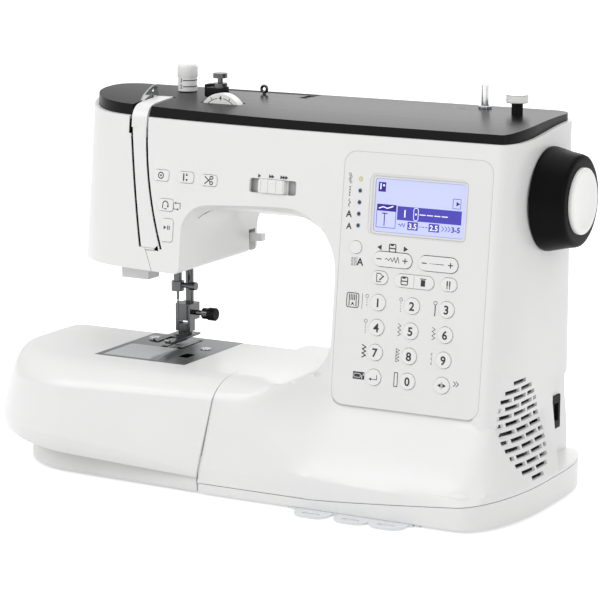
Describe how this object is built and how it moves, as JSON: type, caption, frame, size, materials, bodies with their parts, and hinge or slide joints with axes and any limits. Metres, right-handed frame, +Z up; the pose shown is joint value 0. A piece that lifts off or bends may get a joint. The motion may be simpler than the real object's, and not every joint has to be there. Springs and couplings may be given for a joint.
{
  "type": "sewing machine",
  "caption": "Computerised free-arm sewing machine: white casing with black top, display panel with keys, handwheel, sewing head and slide-off accessory box.",
  "frame": {"origin": "centre of the bounding box's footprint, on the table under the rubber feet", "axes": "+X along the machine towards the handwheel, +Y from the operator to the back, +Z up"},
  "size_m": [0.46, 0.189, 0.2985],
  "materials": {
    "white_plastic": "satin moulded casing plastic",
    "black_gloss": "gloss black moulded plastic",
    "black_matte": "matte black plastic",
    "panel_white": "printed satin panel",
    "key_white": "smooth key cap",
    "polished_steel": "polished plated steel",
    "brushed_steel": "brushed stainless plate",
    "cast_alloy": "raw die-cast alloy",
    "rubber_black": "soft rubber",
    "display_glass": "backlit display window",
    "clear_plastic": "clear moulded plastic",
    "frosted_plastic": "frosted sheet plastic",
    "dial_white": "white dial plastic"
  },
  "bodies": {
    "machine": {"base_tray": "white_plastic", "rubber_feet": "rubber_black", "frame_casting": "cast_alloy", "front_cover": "white_plastic", "rear_cover": "white_plastic", "free_arm": "white_plastic", "needle_plate": "brushed_steel", "face_cover": "white_plastic", "thread_strip": "white_plastic", "top_cover": "black_gloss", "face_cap": "black_gloss", "control_panel": "panel_white", "display_module": "display_glass", "power_inlet": "black_matte", "drive_motor": "cast_alloy", "thread_guides": "polished_steel", "cover_screws": "polished_steel"},
    "drive": {"handwheel": "black_gloss", "main_shaft": "brushed_steel"},
    "needle_carrier": {"needle_bar": "polished_steel", "needle": "polished_steel"},
    "take_up_lever_body": {"take_up_lever": "polished_steel"},
    "presser_bar_body": {"presser_bar": "polished_steel"},
    "presser_foot_body": {"presser_foot": "polished_steel"},
    "presser_lifter_body": {"presser_lifter": "white_plastic"},
    "threader_lever_body": {"threader_lever": "white_plastic"},
    "speed_knob_body": {"speed_knob": "key_white"},
    "pressure_dial_body": {"pressure_dial": "dial_white"},
    "tension_dial_body": {"tension_dial": "dial_white"},
    "winder_spindle_body": {"winder_spindle": "polished_steel"},
    "bobbin_cover_body": {"bobbin_cover": "clear_plastic"},
    "feed_dog_body": {"feed_dog": "brushed_steel"},
    "rotary_hook_body": {"rotary_hook": "polished_steel"},
    "bobbin_body": {"bobbin": "clear_plastic"},
    "accessory_box_body": {"accessory_box": "white_plastic"},
    "stitch_charts_body": {"stitch_charts": "frosted_plastic"},
    "carry_handle_body": {"carry_handle": "black_matte"},
    "key_1_body": {"key_1": "key_white"},
    "key_2_body": {"key_2": "key_white"},
    "key_3_body": {"key_3": "key_white"},
    "key_4_body": {"key_4": "key_white"},
    "key_5_body": {"key_5": "key_white"},
    "key_6_body": {"key_6": "key_white"},
    "key_7_body": {"key_7": "key_white"},
    "key_8_body": {"key_8": "key_white"},
    "key_9_body": {"key_9": "key_white"},
    "key_enter_body": {"key_enter": "key_white"},
    "key_0_body": {"key_0": "key_white"},
    "key_mirror_body": {"key_mirror": "key_white"},
    "width_rocker_body": {"width_rocker": "key_white"},
    "length_rocker_body": {"length_rocker": "key_white"},
    "save_erase_key_body": {"save_erase_key": "key_white"},
    "edit_key_body": {"edit_key": "key_white"},
    "twin_needle_key_body": {"twin_needle_key": "key_white"},
    "mode_key_body": {"mode_key": "key_white"},
    "needle_stop_button_body": {"needle_stop_button": "key_white"},
    "needle_up_button_body": {"needle_up_button": "key_white"},
    "thread_cut_button_body": {"thread_cut_button": "key_white"},
    "lock_button_body": {"lock_button": "key_white"},
    "start_button_body": {"start_button": "key_white"}
  },
  "joints": [
    {"name": "handwheel_turn", "type": "hinge", "parent": "machine", "child": "drive", "pos_m": [0.2, 0.039, 0.2208], "axis": [1, 0, 0], "continuous": true},
    {"name": "needle_stroke", "type": "slide", "parent": "machine", "child": "needle_carrier", "axis": [0, 0, 1], "range_m": [-0.028, 0]},
    {"name": "take_up_swing", "type": "hinge", "parent": "machine", "child": "take_up_lever_body", "pos_m": [-0.122, 0.0405, 0.238], "axis": [1, 0, 0], "range_deg": [0, 32]},
    {"name": "presser_lift", "type": "slide", "parent": "machine", "child": "presser_bar_body", "axis": [0, 0, 1], "range_m": [-0.0052, 0]},
    {"name": "foot_tilt", "type": "hinge", "parent": "presser_bar_body", "child": "presser_foot_body", "pos_m": [-0.0974, 0.03, 0.0985], "axis": [1, 0, 0], "range_deg": [-1.8, 0.5]},
    {"name": "lifter_turn", "type": "hinge", "parent": "machine", "child": "presser_lifter_body", "pos_m": [-0.097, 0.0875, 0.163], "axis": [0, 1, 0], "range_deg": [0, 50]},
    {"name": "threader_drop", "type": "slide", "parent": "machine", "child": "threader_lever_body", "axis": [0, 0, 1], "range_m": [-0.022, 0]},
    {"name": "speed_slide", "type": "slide", "parent": "machine", "child": "speed_knob_body", "axis": [0.999, -0.0444, 0.0055], "range_m": [-0.0075, 0.0085]},
    {"name": "pressure_turn", "type": "hinge", "parent": "machine", "child": "pressure_dial_body", "pos_m": [-0.113, 0.0625, 0.28], "axis": [0, 0, 1], "range_deg": [-150, 150]},
    {"name": "tension_turn", "type": "hinge", "parent": "machine", "child": "tension_dial_body", "pos_m": [-0.059, 0.0245, 0.264], "axis": [0, 1, 0], "range_deg": [-120, 120]},
    {"name": "winder_spin", "type": "hinge", "parent": "machine", "child": "winder_spindle_body", "pos_m": [0.1347, 0.0745, 0.28], "axis": [0, 0, 1], "continuous": true},
    {"name": "bobbin_cover_lift", "type": "slide", "parent": "machine", "child": "bobbin_cover_body", "axis": [0, 0, 1], "range_m": [0, 0.005]},
    {"name": "feed_travel", "type": "slide", "parent": "machine", "child": "feed_dog_body", "axis": [0, 1, 0], "range_m": [-0.002, 0.002]},
    {"name": "hook_spin", "type": "hinge", "parent": "machine", "child": "rotary_hook_body", "pos_m": [-0.0974, 0.0015, 0.07], "axis": [0, 0, 1], "continuous": true},
    {"name": "bobbin_spin", "type": "hinge", "parent": "machine", "child": "bobbin_body", "pos_m": [-0.0974, 0.0015, 0.07], "axis": [0, 0, 1], "continuous": true},
    {"name": "box_slide", "type": "slide", "parent": "machine", "child": "accessory_box_body", "axis": [-1, 0, 0], "range_m": [0, 0.12]},
    {"name": "charts_slide", "type": "slide", "parent": "machine", "child": "stitch_charts_body", "axis": [0, -1, 0], "range_m": [0, 0.06]},
    {"name": "handle_swing", "type": "hinge", "parent": "machine", "child": "carry_handle_body", "pos_m": [-0.055, 0.068, 0.2745], "axis": [1, 0, 0], "range_deg": [0, 90]},
    {"name": "key_1_press", "type": "slide", "parent": "machine", "child": "key_1_body", "axis": [0, 0.9925, -0.1219], "range_m": [0, 0.0008], "stiffness_N_per_m": 900, "springref_m": -0.0006},
    {"name": "key_2_press", "type": "slide", "parent": "machine", "child": "key_2_body", "axis": [0, 0.9925, -0.1219], "range_m": [0, 0.0008], "stiffness_N_per_m": 900, "springref_m": -0.0006},
    {"name": "key_3_press", "type": "slide", "parent": "machine", "child": "key_3_body", "axis": [0, 0.9925, -0.1219], "range_m": [0, 0.0008], "stiffness_N_per_m": 900, "springref_m": -0.0006},
    {"name": "key_4_press", "type": "slide", "parent": "machine", "child": "key_4_body", "axis": [0, 0.9925, -0.1219], "range_m": [0, 0.0008], "stiffness_N_per_m": 900, "springref_m": -0.0006},
    {"name": "key_5_press", "type": "slide", "parent": "machine", "child": "key_5_body", "axis": [0, 0.9925, -0.1219], "range_m": [0, 0.0008], "stiffness_N_per_m": 900, "springref_m": -0.0006},
    {"name": "key_6_press", "type": "slide", "parent": "machine", "child": "key_6_body", "axis": [0, 0.9925, -0.1219], "range_m": [0, 0.0008], "stiffness_N_per_m": 900, "springref_m": -0.0006},
    {"name": "key_7_press", "type": "slide", "parent": "machine", "child": "key_7_body", "axis": [0, 0.9925, -0.1219], "range_m": [0, 0.0008], "stiffness_N_per_m": 900, "springref_m": -0.0006},
    {"name": "key_8_press", "type": "slide", "parent": "machine", "child": "key_8_body", "axis": [0, 0.9925, -0.1219], "range_m": [0, 0.0008], "stiffness_N_per_m": 900, "springref_m": -0.0006},
    {"name": "key_9_press", "type": "slide", "parent": "machine", "child": "key_9_body", "axis": [0, 0.9925, -0.1219], "range_m": [0, 0.0008], "stiffness_N_per_m": 900, "springref_m": -0.0006},
    {"name": "key_enter_press", "type": "slide", "parent": "machine", "child": "key_enter_body", "axis": [0, 0.9925, -0.1219], "range_m": [0, 0.0008], "stiffness_N_per_m": 900, "springref_m": -0.0006},
    {"name": "key_0_press", "type": "slide", "parent": "machine", "child": "key_0_body", "axis": [0, 0.9925, -0.1219], "range_m": [0, 0.0008], "stiffness_N_per_m": 900, "springref_m": -0.0006},
    {"name": "key_mirror_press", "type": "slide", "parent": "machine", "child": "key_mirror_body", "axis": [0, 0.9925, -0.1219], "range_m": [0, 0.0008], "stiffness_N_per_m": 900, "springref_m": -0.0006},
    {"name": "save_erase_key_press", "type": "slide", "parent": "machine", "child": "save_erase_key_body", "axis": [0, 0.9925, -0.1219], "range_m": [0, 0.0008], "stiffness_N_per_m": 900, "springref_m": -0.0006},
    {"name": "edit_key_press", "type": "slide", "parent": "machine", "child": "edit_key_body", "axis": [0, 0.9925, -0.1219], "range_m": [0, 0.0008], "stiffness_N_per_m": 900, "springref_m": -0.0006},
    {"name": "twin_needle_key_press", "type": "slide", "parent": "machine", "child": "twin_needle_key_body", "axis": [0, 0.9925, -0.1219], "range_m": [0, 0.0008], "stiffness_N_per_m": 900, "springref_m": -0.0006},
    {"name": "mode_key_press", "type": "slide", "parent": "machine", "child": "mode_key_body", "axis": [0, 0.9925, -0.1219], "range_m": [0, 0.0008], "stiffness_N_per_m": 900, "springref_m": -0.0006},
    {"name": "width_rocker_tilt", "type": "hinge", "parent": "machine", "child": "width_rocker_body", "pos_m": [0.1118, -0.02336, 0.1784], "axis": [0, 0.1219, 0.9925], "range_deg": [-2.5, 2.5], "stiffness_Nm_per_rad": 0.5},
    {"name": "length_rocker_tilt", "type": "hinge", "parent": "machine", "child": "length_rocker_body", "pos_m": [0.14765, -0.02336, 0.1784], "axis": [0, 0.1219, 0.9925], "range_deg": [-2.5, 2.5], "stiffness_Nm_per_rad": 0.5},
    {"name": "needle_stop_button_press", "type": "slide", "parent": "machine", "child": "needle_stop_button_body", "axis": [0.1242, 0.9849, -0.1209], "range_m": [0, 0.001], "stiffness_N_per_m": 900, "springref_m": -0.0006},
    {"name": "needle_up_button_press", "type": "slide", "parent": "machine", "child": "needle_up_button_body", "axis": [0.106, 0.987, -0.1212], "range_m": [0, 0.001], "stiffness_N_per_m": 900, "springref_m": -0.0006},
    {"name": "thread_cut_button_press", "type": "slide", "parent": "machine", "child": "thread_cut_button_body", "axis": [0.0891, 0.9886, -0.1214], "range_m": [0, 0.001], "stiffness_N_per_m": 900, "springref_m": -0.0006},
    {"name": "lock_button_press", "type": "slide", "parent": "machine", "child": "lock_button_body", "axis": [0.1197, 0.9854, -0.121], "range_m": [0, 0.001], "stiffness_N_per_m": 900, "springref_m": -0.0006},
    {"name": "start_button_press", "type": "slide", "parent": "machine", "child": "start_button_body", "axis": [0.118, 0.9856, -0.121], "range_m": [0, 0.001], "stiffness_N_per_m": 900, "springref_m": -0.0006}
  ],
  "couplings": [
    {"joint": "hook_spin", "follows": "handwheel_turn", "ratio": 2},
    {"joint": "lifter_turn", "follows": "presser_lift", "rad_per_m": -167.8}
  ]
}
